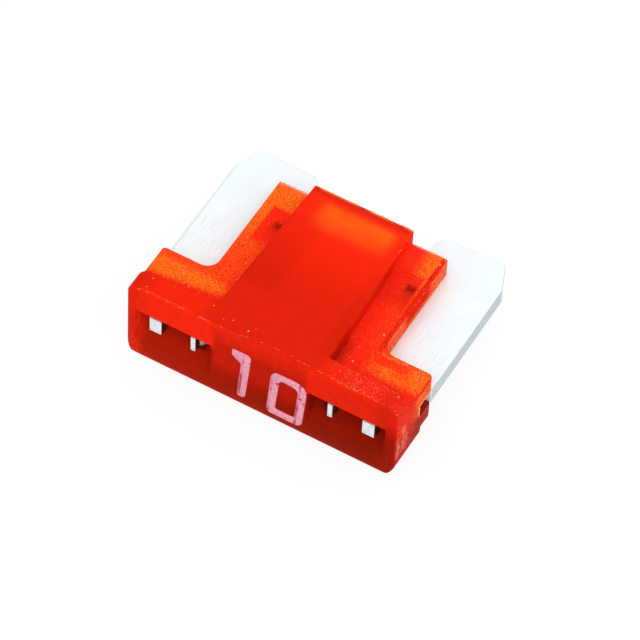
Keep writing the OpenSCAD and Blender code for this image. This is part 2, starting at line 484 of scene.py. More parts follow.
# Painted light: an amber glow near the far end of the block, where light comes through it from behind.
GLOW = Mark(1.0, along=(5.3, 6.5, 6.6, 6.95), x=(-0.9, 1.3, 0.65))
GLOW_CLOUD = (0.12, 0.86)
GLOW_MOTTLE = (0.75, 1.25)
# Painted highlight: a broken amber line along the block's far edge.
FAR_LINE = Mark(0.7, along=(BODY_L - 0.12, BODY_L - 0.06, 0.03))

# Shoulders and ears from above. The amber lies where the metal shows through.
EAR_START = (SHOULDER_L - 0.25, SHOULDER_L + 0.15)
METAL_MARKS = {
    "left": Mark(1.0, x=LEFT, seen=(2.35, 2.65)),
    "right": Mark(1.0, x=RIGHT, seen=(2.15, 2.9)),
}
LEFT_NOTCH = {"x": LEFT, "seen": (2.2, 3.22, 0.1), "along": (4.2, 4.7, 6.12, 6.3)}
RIGHT_NOTCH = {"x": RIGHT, "seen": (1.83, 2.85, 0.1), "along": (4.2, 4.7, 6.02, 6.2)}
NOTCH_MARKS = {"left": Mark(1.0, **LEFT_NOTCH), "right": Mark(1.0, **RIGHT_NOTCH)}
EAR_RIM = {"x": (EAR_X - 0.16, EAR_X, 0.05), "along": EAR_START}
EAR_AMBER = 0.25
EAR_AMBER_MARKS = {"far part": Mark(0.7, along=(3.2, 7.4))}
# Painted shade: the right ear shows less amber than the left, except at its far part.
RIGHT_EAR_MARKS = {"ear": Mark(-0.6, x=RIGHT), "far part": Mark(0.55, x=RIGHT, along=(5.4, 6.2))}
LEFT_BAND = {"x": LEFT, "slant": (1.22, 1.6), "seen": (2.4, 3.2)}
LEFT_SHOULDER_MARKS = {
    "band": Mark(0.9, **LEFT_BAND),
    "far part": Mark(-0.65, **LEFT_BAND, along=(2.0, 2.4)),
}
RIGHT_SHOULDER_MARKS = {
    "band": Mark(0.85, side=(2.9, 4.0), x=RIGHT, along=(1.3, 1.8)),
    "streak": Mark(-0.7, side=(2.9, 4.0), x=(3.5, 4.4, 0.3), along=(2.12, 2.35, 0.15)),
}
RIGHT_PATCHES = (0.35, 1.0)
THIN_SHADE = 1.0
THIN_MARKS = {
    # Painted shadow beside the block's right wall, and painted shade in the corner where it meets the head.
    "beside the block": Mark(-0.06, x=RIGHT, seen=(2.6, 2.1)),
    "root of the block": Mark(-0.3, x=RIGHT, seen=(2.45, 1.95), along=(1.5, 2.15, 0.5)),
    "right notch": Mark(-0.1, **RIGHT_NOTCH),
    "rim of the right ear": Mark(-0.2, **EAR_RIM),
    # Painted shadows: the dark far wall of each stake pit, seen through the plastic, and a fading trail of
    # shade from it.
    "stakes": Mark(-0.43, seen=(2.58, 2.76, 0.16), along=(5.15, 5.45, 5.52, 5.68)),
    "trails of the stakes": Mark(-0.16, seen=(2.6, 2.85, 0.25), along=(5.0, 5.5, 0.35)),
}
THIN_GRAIN = 0.2
NOTCH_SMOOTH = 0.8
RIGHT_SMOOTH = Mark(0.7, x=RIGHT, seen=(3.0, 2.3))

# Numbered face with its windows. Its red is painted light and shade: pale near the top and over the lips,
# where light comes down through the plastic, dark lower down, darker to the right, and paler at the ends,
# most at the left end.
FRONT_SHADE = 0.42
FRONT_MARKS = {"darker to the right": Mark(-0.17, x=RIGHTWARD), "foot": Mark(0.1, z=(0.45, 0.1))}
MIDDLE_MARKS = {"upper half": Mark(0.22, z=(1.1, 2.0)), "top": Mark(0.22, z=(2.7, 3.6))}
LIP_MARKS = {
    "over the windows": Mark(1.0, side=(5.2, 4.8), z=(LIP_Z - 0.12, LIP_Z - 0.04)),
    "corners": Mark(1.0, side=(4.8, 5.2), z=(1.7, 3.3)),
}
LIP_SHADE = 0.97
LIP_SHADE_MARKS = {"darker to the right": Mark(-0.16, x=RIGHTWARD), "ends": Mark(-0.12, side=(4.3, 5.0))}
FACE_END = (WINDOW_OUT_X - 0.4, WINDOW_OUT_X)
FACE_END_MARKS = {"both": Mark(0.3, side=FACE_END), "right": Mark(-0.24, side=FACE_END, x=RIGHTWARD)}
BESIDE_NUMBER = (WINDOW_IN_X - 0.25, WINDOW_IN_X + 0.05)
FRONT_MOTTLE = (0.86, 1.14)

# Upright walls of the block, the ears and the ends.
END_WALL = (4.6, 4.9)
EAR_WALL = (2.7, 3.0, 4.6, 4.9)
FACING_FAR = (0.5, 0.8)
FACING_LEFT = (-0.2, -0.5)
BLOCK_ROOT = (1.2, 2.1, 0.6)
BLOCK_FOOT = (3.3, 3.08)
# Painted shade on the block's walls: darker half way up and at the root by the head, paler at the top, the
# foot and the far end.
BLOCK_SHADE = 0.68
BLOCK_MARKS = {
    "top": Mark(0.08, z=(3.55, 3.78)),
    "foot": Mark(0.2, z=BLOCK_FOOT),
    "foot at the root": Mark(-0.2, z=BLOCK_FOOT, along=BLOCK_ROOT),
    "root": Mark(-0.17, along=BLOCK_ROOT),
    "far part": Mark(0.26, along=(5.4, 6.2)),
}
SHOULDER_PART = (1.0, 1.8)
# The ends are painted darker low down and paler near the top, as light comes in from above; the low part of
# the shoulder ends is darker still.
END_SHADE = 0.49
END_MARKS = {
    "upper part": Mark(0.31, z=(1.2, 2.6)),
    "lower shoulder": Mark(-0.15, along=SHOULDER_PART, z=(1.9, 1.7)),
}
NOTCH_WALL = (4.5, 5.8, 0.5)
EAR_WALL_SHADES = (0.95, 0.8)
EAR_FLAKES = (0.4, 0.8)
EAR_FOOT = Mark(0.75, z=(2.2, 2.45, 0.1), along=(4.0, 4.6))
SHOULDER_END = Mark(0.6, along=SHOULDER_PART, z=(1.9, 2.8, 0.1))
# Pale scratches on the ends, which also carry a painted sheen.
SCUFF_AND_SHEEN = Mark(0.4, along=(0.25, 0.8, 0.15), z=(1.1, 2.3, 0.3))
# Pale rim round the opening of each end slot, partly whitened flash and partly a painted edge highlight.
OVER_SLOT = Mark(1.0, along=(END_SLOT_L - 0.04, SHOULDER_L, 0.03), z=(2.29, 2.33, 0.02))
BESIDE_SLOT = Mark(1.0, along=(END_SLOT_L - 0.07, END_SLOT_L - 0.02, 0.02), z=(1.76, 2.33, 0.03))
# Pale dots on the ends, painted glints of their rough surface.
END_DOTS = 0.32
EAR_GRAIN = 0.55

# Which paint a point of the plastic takes, and what lies over all of it.
NEAR_FACE = (0.14, 0.08)
FRONT_WALLS = Mark(1.0, face_y=(-0.4, -0.7), along=(1.3, 1.1))
THICK_PART = (1.3, 1.5)
WINDOW = Mark(
    1.0,
    along=(0.06, PRONG_ROOT_L, 0.05),
    side=(WINDOW_IN_X, WINDOW_OUT_X, 0.03),
    height=(LIP_Z - MID_Z + 0.05, LIP_Z - MID_Z),
)
END_SLOT = Mark(
    1.0,
    side=(WINDOW_OUT_X - 0.05, END_X - 0.035, 0.01),
    along=(END_SLOT_L - 0.02, SHOULDER_L + 0.02, 0.02),
    height=(SLOT_H / 2 + 0.02, SLOT_H / 2),
)
# Painted shade inside the windows, with painted light on their outer ends, and painted shade inside the end
# slots.
WINDOW_SHADE = 0.3
WINDOW_MARKS = {
    "left end": Mark(0.7, x=SOFT_LEFT, side=(4.35, 4.75)),
    "right end": Mark(0.7, x=SOFT_RIGHT, side=(4.6, 5.0)),
}
END_SLOT_DARK = 0.66
SPECKLE_GRAIN = (0.3, 1.7)
SPECKLE_MOTTLE = (0.6, 1.4)
MOTTLED = (0.92, 1.08)
HEAD_DUST = Mark(1.0, x=(2.2, 3.6), along=(HEAD_L, HEAD_L - 0.1))
DUST_PATCHES = (0.25, 1.0)
THIN_DUST = 0.25
DUST = 0.4
# Painted highlight along the far edges, weaker on the right.
FAR_EDGE = (BODY_L - 0.12, BODY_L - 0.05)
FAR_HIGHLIGHT_MARKS = {"whole": Mark(1.0, along=FAR_EDGE), "right": Mark(-0.5, along=FAR_EDGE, x=SOFT_RIGHT)}
FAR_HIGHLIGHT_PATCHES = (0.2, 1.1)
THICK_HIGHLIGHT = 0.3
HAZE = 0.88
PLASTIC_BUMP = 0.3


def thick_paint(spot, cloud):
    """Head bar and block from above: the red with painted shade, and the painted glow at the far end."""
    shade = painted(spot, THICK_SHADE, THICK_MARKS)
    return shade, GLOW.on(spot) * cloud.between(*GLOW_CLOUD)


def thin_paint(spot, patches, speckled):
    """Shoulders and ears from above: the red with painted shade and shadows, and the amber of the metal
    under them.
    """
    on_ear = spot.along.over(EAR_START)
    metal = painted(spot, 0.0, METAL_MARKS)
    notch = painted(spot, 0.0, NOTCH_MARKS)
    rim = Mark(1.0, **EAR_RIM).on(spot)
    ear = painted(spot, EAR_AMBER, EAR_AMBER_MARKS) * painted(spot, 1.0, RIGHT_EAR_MARKS)
    left_shoulder = painted(spot, 0.0, LEFT_SHOULDER_MARKS)
    right_shoulder = painted(spot, 0.0, RIGHT_SHOULDER_MARKS) * patches.between(*RIGHT_PATCHES)
    shoulder = left_shoulder + right_shoulder
    amber = metal * (1 - notch) * (1 - rim) * (on_ear * ear + (1 - on_ear) * shoulder)
    grainy = THIN_GRAIN * (1 - NOTCH_SMOOTH * notch) * (1 - RIGHT_SMOOTH.on(spot))
    shade = painted(spot, THIN_SHADE, THIN_MARKS) * (1 + grainy * (speckled - 1))
    return shade, amber


def front_paint(spot):
    """Numbered face with its windows: painted shade below, painted light over the lips."""
    dark = painted(spot, FRONT_SHADE, FRONT_MARKS)
    middle = painted(spot, dark, MIDDLE_MARKS)
    lip = painted(spot, 0.0, LIP_MARKS)
    over_lip = painted(spot, LIP_SHADE, LIP_SHADE_MARKS)
    ends = painted(spot, 0.0, FACE_END_MARKS)
    windows = dark + (over_lip - dark) * lip + ends * (1 - lip)
    beside = spot.side.over(BESIDE_NUMBER)
    return beside * windows + (1 - beside) * middle


def wall_paint(spot, grain, dots, scratches, flakes):
    """Upright walls: painted shade of the red, amber, and the pale colour of painted sheen, glints,
    highlights and scratches.
    """
    end = spot.side.over(END_WALL)
    on_ear = spot.side.over(EAR_WALL)
    on_block = (1 - end) * (1 - on_ear)
    in_sight = 1 - spot.face_y.over(FACING_FAR)
    at_notch = spot.along.over(NOTCH_WALL)
    # Painted light: walls that face left take the full red, which lightens the crease beside the block.
    block = painted(spot, BLOCK_SHADE, BLOCK_MARKS).most(spot.face_x.over(FACING_LEFT))
    ear = at_notch.between(*EAR_WALL_SHADES)
    shade = end * painted(spot, END_SHADE, END_MARKS) + on_ear * ear + on_block * block
    ear_amber = (flakes.between(*EAR_FLAKES) * (1 - at_notch)).most(EAR_FOOT.on(spot))
    amber = in_sight * (on_ear * ear_amber + end * SHOULDER_END.on(spot))
    # Pale colour of the walls: painted glints on the ends, the rims of the end slots, partly whitened flash
    # and partly a painted edge highlight, and pale grain on the ear walls.
    slot_rim = OVER_SLOT.on(spot).most(BESIDE_SLOT.on(spot))
    sheen_and_dust = end * (END_DOTS * dots + slot_rim) + on_ear * (1 - at_notch) * EAR_GRAIN * grain * flakes
    return shade, amber, end * SCUFF_AND_SHEEN.on(spot) * scratches + sheen_and_dust * in_sight


def plastic_material(look):
    """Translucent red: hazy where it is thick, amber where it lies close over the metal, with light and
    shade painted into the red.
    """
    material, tree, spot = new_material("red_translucent_plastic")
    kinds = (CLOUD, MOTTLE, PATCHES, GRAIN, DOTS, SCRATCHES, FLAKES)
    cloud, mottle, patches, grain, dots, scratches, flakes = (
        tree.noise(spot.vector, **kind) for kind in kinds
    )
    near = spot.along.over(NEAR_FACE)
    front = near.most(FRONT_WALLS.on(spot))
    level = spot.level * (1 - near)
    thick = spot.height.over(THICK_PART)
    low, high = level * (1 - thick), level * thick
    wall = (1 - level) * (1 - front)

    speckled = grain.between(*SPECKLE_GRAIN) * mottle.between(*SPECKLE_MOTTLE)
    thick_shade, glow = thick_paint(spot, cloud)
    thin_shade, thin_amber = thin_paint(spot, patches, speckled)
    wall_shade, wall_amber, wall_sheen_and_dust = wall_paint(spot, grain, dots, scratches, flakes)
    front_shade = front_paint(spot) * mottle.between(*FRONT_MOTTLE)
    end_slot = END_SLOT.on(spot)
    opening = (WINDOW.on(spot) * (1 - front)).most(end_slot)
    upright_shade = front * front_shade + (1 - front) * wall_shade
    shade = high * thick_shade + low * thin_shade + (1 - level) * upright_shade
    # Painted shade inside the windows and the end slots.
    shade = shade * (1 - opening) + opening * painted(spot, WINDOW_SHADE, WINDOW_MARKS)
    shade = shade * mottle.between(*MOTTLED) * (1 - END_SLOT_DARK * end_slot)
    # The painted glow, with the painted highlight line along the far edge.
    glow = glow * mottle.between(*GLOW_MOTTLE) + FAR_LINE.on(spot) * patches
    amber = (high * glow + (low * thin_amber + wall * wall_amber) * speckled) * (1 - opening)
    dusty = high * HEAD_DUST.on(spot) * patches.between(*DUST_PATCHES) + low * THIN_DUST
    far_highlight = level * painted(spot, 0.0, FAR_HIGHLIGHT_MARKS) * (low + THICK_HIGHLIGHT * high)
    far_highlight = far_highlight * patches.between(*FAR_HIGHLIGHT_PATCHES)
    # Pale colour: painted sheen, glints and highlights on the walls and far edges, and pale dust.
    sheen_and_dust = (wall * wall_sheen_and_dust + dusty * dots * DUST + far_highlight) * (1 - opening)

    red = tree.mix(shade.least(1.0), (0, 0, 0, 1), opaque(look.red))
    warmed = tree.mix(amber.least(1.0), red, opaque(look.amber))
    colour = tree.mix(sheen_and_dust.least(1.0), warmed, opaque(look.sheen_and_dust))
    rough = grain * low.most(wall)
    bump = tree.bump(PLASTIC_BUMP, rough)
    glass = tree.principled(
        {
            "Base Color": (1, 1, 1, 1),
            "Roughness": 0.3,
            "IOR": 1.1,
            "Specular Tint": (0.6, 0.02, 0.01, 1),
            "Transmission Weight": 1.0,
            "Normal": bump,
        },
    )
    haze = tree.principled(
        {
            "Base Color": colour,
            "Roughness": rough.between(0.35, 0.55),
            "IOR": 1.5,
            "Specular IOR Level": 0.001,
            "Specular Tint": (1.0, 0.2, 0.15, 1),
            "Normal": bump,
        },
    )
    both = tree.make("ShaderNodeMixShader", None, {0: HAZE, 1: glass, 2: haze})
    volume = tree.make(
        "ShaderNodeVolumeAbsorption", None, {"Color": (0.987, 0.587, 0.04, 1), "Density": 2300.0}
    )
    tree.make("ShaderNodeOutputMaterial", None, {"Surface": both, "Volume": volume})
    return material


# Metal: streaks and scores of its faces, a painted grey shade along the left blade's outer edge, and
# painted shade on the prongs in the windows.
SHEARED_STREAKS = (0.3, 0.7)
SHEARED_LIGHT = 1.25
BRUSHED = (0.2, 0.5)
BRIGHT_DARK = 0.94
SCORED = Mark(0.18, along=(2.6, 4.8, 0.8))
SCORED_STREAKS = (0.48, 0.36)
SCORED_TARNISH = (0.36, 0.56)
STRAIGHT = (0.75, 0.95)
FACING_NEAR = (-0.3, -0.5)
SHADED_LEFT_EDGE = Mark(0.35, x=(0.1 - END_X, 0.02 - END_X))
PRONGS = (PRONG_ROOT_L + 0.1, PRONG_ROOT_L)
PRONG_ENDS = Mark(1.0, along=PRONGS, face_y=(-0.55, -0.7))
PITTED = (0.08, 0.5)
METALLIC = 0.3
METAL_BUMP = 0.03


def metal_material(look):
    """Bright zinc: rolling streaks on the faces, dull sheared edges, painted shade on the sides of the
    prongs and along the left blade's outer edge.
    """
    material, tree, spot = new_material("bright_stamped_zinc")
    streaks = tree.noise(spot.vector, **STREAKS)
    tarnish = tree.noise(spot.vector, **TARNISH)
    grey = opaque(look.sheared)
    sheared = tree.mix(streaks.over(SHEARED_STREAKS), grey, opaque(look.sheared, SHEARED_LIGHT))
    brushed = (streaks * tarnish).over(BRUSHED)
    rolled = tree.mix(brushed, opaque(look.bright, BRIGHT_DARK), opaque(look.bright))
    scored = SCORED.on(spot) * streaks.over(SCORED_STREAKS) * tarnish.over(SCORED_TARNISH)
    rolled = tree.mix(scored, rolled, grey)
    level = abs(spot.face_z).over(STRAIGHT)
    # Faces that look up, down or to the front take the bright colour, so the cut ends of the prongs are
    # painted bright as lit; other upright faces take the grey.
    colour = tree.mix(level.most(spot.face_y.over(FACING_NEAR)), sheared, rolled)
    # Painted shade: a grey line along the outer edge of the left blade.
    colour = tree.mix(level * SHADED_LEFT_EDGE.on(spot), colour, grey)
    # Painted shade and reflection on the sides of the prongs in the windows.
    shadowy = spot.along.over(PRONGS) * abs(spot.face_x).over(STRAIGHT)
    colour = tree.mix(shadowy, colour, opaque(look.prong_shade))
    pitted = tree.noise(spot.vector, **PITS).between(*PITTED)
    colour = tree.mix(PRONG_ENDS.on(spot) * pitted, colour, grey)
    bump = tree.bump(METAL_BUMP, streaks)
    shader = tree.principled(
        {
            "Base Color": colour,
            "Metallic": METALLIC * (1 - shadowy),
            "Roughness": streaks.between(0.42, 0.52),
            "Normal": bump,
        },
    )
    tree.make("ShaderNodeOutputMaterial", None, {"Surface": shader})
    return material


# Ink: lines of painted shade along the left side of the strokes, as shares of a stroke's width, and the
# wear of the ink.
ONE_SHADED_LINE = (-0.36, -0.2)
ZERO_LEFT_SHADED_LINE = (0.16, 0.32)
ZERO_RIGHT_SHADED_LINE = (-0.88, -0.72)
SHADED_LINE_SOFT = 0.04
SHADED_LINE_BREAKS = (0.15, 0.85)
SPOT_WEAR = 0.9
INK_DARK, INK_LIGHT = 0.85, 1.15
INK_BUMP = 0.2


def ink_material(look):
    """Stamped ink: mottled, with lines of painted shade along the left side of the strokes, and spots of
    wear.
    """
    material, tree, spot = new_material("stamped_pink_ink")
    mottle, spots, breaks = (
        tree.noise(spot.vector, **kind) for kind in (INK_MOTTLE, INK_SPOTS, INK_BREAKS)
    )
    upright = spot.x - math.tan(look.lean) * (spot.z - MID_Z)
    stroke, zero_half = look.stroke / MM, look.zero_w / 2 / MM

    def line(x, shares):
        """A line of painted shade beside a stroke that starts at x."""
        low, high = (x + stroke * share for share in shares)
        return upright.over((low, high, SHADED_LINE_SOFT))

    shaded_lines = line(ONE_X, ONE_SHADED_LINE)
    shaded_lines = shaded_lines.most(line(ZERO_X - zero_half, ZERO_LEFT_SHADED_LINE))
    shaded_lines = shaded_lines.most(line(ZERO_X + zero_half, ZERO_RIGHT_SHADED_LINE))
    worn_and_shaded = shaded_lines * breaks.between(*SHADED_LINE_BREAKS) + spots * SPOT_WEAR
    pale = tree.mix(mottle, opaque(look.ink, INK_DARK), opaque(look.ink, INK_LIGHT))
    colour = tree.mix(worn_and_shaded.least(1.0), pale, opaque(look.worn_and_shaded))
    bump = tree.bump(INK_BUMP, mottle)
    shader = tree.principled(
        {
            "Base Color": colour,
            "Roughness": mottle.between(0.55, 0.75),
            "Specular IOR Level": 0.1,
            "Normal": bump,
        },
    )
    tree.make("ShaderNodeOutputMaterial", None, {"Surface": shader})
    return material


FLASH_DARK = 0.8


def flash_material(name, colour):
    """Pale plastic of torn edges and specks; on the edges it also stands for painted highlights."""
    material, tree, spot = new_material(name)
    pale = tree.noise(spot.vector, **PALENESS)
    shader = tree.principled(
        {
            "Base Color": tree.mix(pale, opaque(colour, FLASH_DARK), opaque(colour)),
            "Roughness": pale.between(0.4, 0.6),
            "Specular IOR Level": 0.2,
        },
    )
    tree.make("ShaderNodeOutputMaterial", None, {"Surface": shader})
    return material


class FUSE_OT_housing(bpy.types.Operator):
    """Moulded housing with soft edges, in translucent red plastic"""

    bl_idname = "fuse.housing"
    bl_label = "Housing"

    # Boxes cut out for the end slots, in millimetres: past the end, into the window, width and spare.
    CUT_PAST = 0.1
    CUT_IN = 0.05
    CUT_W = 0.6
    SPARE_H = 0.01
    SPARE_L = 0.05

    def execute(self, context):
        look = context.scene.fuse_housing
        piece = softened_copy(
            "housing",
            "housing_moulding",
            look,
            plastic_material(look),
            slot_h=SLOT_H * MM,
            cuts=self.end_slots(),
        )
        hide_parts("housing")
        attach(piece, BODY)
        return {"FINISHED"}

    def end_slots(self):
        """Lowest and highest corner of the box for each end."""
        half = SLOT_H / 2 - self.SPARE_H
        near, far = END_SLOT_L + FACE_Y, SHOULDER_L - self.SPARE_L + FACE_Y
        boxes = []
        for x in (-END_X - self.CUT_PAST, WINDOW_OUT_X - self.CUT_IN):
            boxes.append(((x, near, MID_Z - half), (x + self.CUT_W, far, MID_Z + half)))
        return boxes


class FUSE_OT_element(bpy.types.Operator):
    """Stamped fuse element with soft edges, in bright metal"""

    bl_idname = "fuse.element"
    bl_label = "Element"

    def execute(self, context):
        look = context.scene.fuse_element
        piece = softened_copy("fuse_element", "element_stamping", look, metal_material(look))
        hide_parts("fuse_element")
        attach(piece, BODY)
        return {"FINISHED"}


def rounded(corners, radii, steps=8):
    """A closed outline with each corner turned into an arc of its own radius."""
    points = []
    for i, corner in enumerate(corners):
        here = Vector(corner)
        back = (Vector(corners[i - 1]) - here).normalized()
        ahead = (Vector(corners[(i + 1) % len(corners)]) - here).normalized()
        half = back.angle(ahead) / 2
        centre = here + (back + ahead).normalized() * (radii[i] / math.sin(half))
        start = here + back * (radii[i] / math.tan(half)) - centre
        end = here + ahead * (radii[i] / math.tan(half)) - centre
        turn = start.angle_signed(end)
        for k in range(steps + 1):
            points.append(centre + Matrix.Rotation(-turn * k / steps, 2) @ start)
    return points


class FUSE_OT_number(bpy.types.Operator):
    """Rating number stamped on the front of the head"""

    bl_idname = "fuse.number"
    bl_label = "Number"

    BASE_Z = 0.46 * MM
    ONE_LIFT = 0.1 * MM
    SUNK = 0.02 * MM
    SOFT = 0.035 * MM
    RAGGED = 0.018 * MM
    RAGGED_SCALE = 7
    RAGGED_SEED = 4

    # Lower edge of the one's flag, at its tip and at the stem, in strokes below the top.
    FLAG_TIP = 0.95
    FLAG_ROOT = 1.9

    # Radii of the corners in millimetres, in the order of the corners.
    ONE_RADII = (0.12, 0.12, 0.2, 0.08, 0.1, 0.2)
    ZERO_OUTER_RADII = (0.22, 0.22, 0.5, 0.3)
    ZERO_INNER_RADII = (0.1, 0.1, 0.28, 0.18)

    def execute(self, context):
        look = context.scene.fuse_number
        noise.seed_set(self.RAGGED_SEED)
        work = bmesh.new()
        self.add_one(work, look)
        self.add_zero(work, look)
        self.raise_faces(work, look)
        piece = smooth_piece("rating_number", work, ink_material(look))
        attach(piece, BODY)
        return {"FINISHED"}

    def place(self, look, point, shift, lift=0.0):
        """A point of a figure on the face, leaned and slightly ragged."""
        z = self.BASE_Z + lift + point.y
        x = shift + point.x + (z - housing_high.z / 2) * math.tan(look.lean)
        ragged = noise.noise_vector(Vector((x, 0, z)) * self.RAGGED_SCALE / MM) * self.RAGGED
        return Vector((x + ragged.x, housing_low.y + self.SUNK, z + ragged.z))

    def add_one(self, work, look):
        half, top, tip = look.stroke / 2, look.one_h, -look.stroke / 2 - look.flag
        corners = [
            (-half, 0),
            (half, 0),
            (half, top),
            (tip, top),
            (tip, top - look.stroke * self.FLAG_TIP),
            (-half, top - look.stroke * self.FLAG_ROOT),
        ]
        outline = rounded(corners, [r * MM for r in self.ONE_RADII])
        points = [self.place(look, p, ONE_X * MM, self.ONE_LIFT) for p in outline]
        work.faces.new([work.verts.new(p) for p in points])

    def add_zero(self, work, look):
        rings = []
        for inset, radii in ((0, self.ZERO_OUTER_RADII), (look.stroke, self.ZERO_INNER_RADII)):
            half, low, top = look.zero_w / 2 - inset, inset, look.zero_h - inset
            corners = [(-half, low), (half, low), (half, top), (-half, top)]
            ring = rounded(corners, [r * MM for r in radii])
            rings.append([work.verts.new(self.place(look, p, ZERO_X * MM)) for p in ring])
        outer, inner = rings
        for i in range(len(outer)):
            work.faces.new((outer[i - 1], outer[i], inner[i], inner[i - 1]))

    def raise_faces(self, work, look):
        """Closed solids from the flat figures, with a soft upper edge."""
        raised = bmesh.ops.extrude_face_region(work, geom=work.faces[:])["geom"]
        tops = [g for g in raised if isinstance(g, bmesh.types.BMFace)]
        verts = [g for g in raised if isinstance(g, bmesh.types.BMVert)]
        bmesh.ops.translate(work, vec=(0, self.SOFT - self.SUNK - look.relief, 0), verts=verts)
        bmesh.ops.inset_region(work, faces=tops, thickness=self.SOFT, use_even_offset=True)
        verts = {v for face in tops for v in face.verts}
        bmesh.ops.translate(work, vec=(0, -self.SOFT, 0), verts=list(verts))
        bmesh.ops.recalc_face_normals(work, faces=work.faces)


class GrowTree(Tree):
    """A geometry tree with named inputs, ending in one material."""

    def __init__(self, name, sizes):
        self.group = bpy.data.node_groups.new(name, "GeometryNodeTree")
        super().__init__(self.group)
        face = self.group.interface
        face.new_socket("Geometry", in_out="INPUT", socket_type="NodeSocketGeometry")
        face.new_socket("Geometry", in_out="OUTPUT", socket_type="NodeSocketGeometry")
        self.names = {}
        for size, given in sizes.items():
            kind = "NodeSocketInt" if isinstance(given, int) else "NodeSocketFloat"
            self.names[size] = face.new_socket(size, in_out="INPUT", socket_type=kind).identifier
        self.shape = self.make("NodeGroupInput")

    def size(self, name):
        return self.also(self.shape, name)

    def random(self, low, high, seed, kind="FLOAT"):
        """A random number or vector for each point."""
        first = {"FLOAT_VECTOR": 0, "FLOAT": 2}[kind]
        return self.make(
            "FunctionNodeRandomValue",
            {"data_type": kind},
            {first: low, first + 1: high, "Seed": seed},
            {"FLOAT_VECTOR": 0, "FLOAT": 1}[kind],
        )

    def grow(self, points, rotation, scale, material):
        """Small pebbles on the points, made real, as the result."""
        pebble = self.make("GeometryNodeMeshIcoSphere", None, {"Radius": 1.0, "Subdivisions": 1})
        grown = self.make(
            "GeometryNodeInstanceOnPoints",
            None,
            {"Points": points, "Instance": pebble, "Rotation": rotation, "Scale": scale},
        )
        real = self.make("GeometryNodeRealizeInstances", None, {"Geometry": grown})
        done = self.make("GeometryNodeSetMaterial", None, {"Geometry": real, "Material": material})
        self.make("NodeGroupOutput", None, {"Geometry": done})

    def apply_to(self, piece, sizes):
        """Runs the tree on a piece and keeps the result as its mesh."""
        modifier = piece.modifiers.new("grow", "NODES")
        modifier.node_group = self.group
        for name, given in sizes.items():
            modifier[self.names[name]] = given
        return applied(piece)


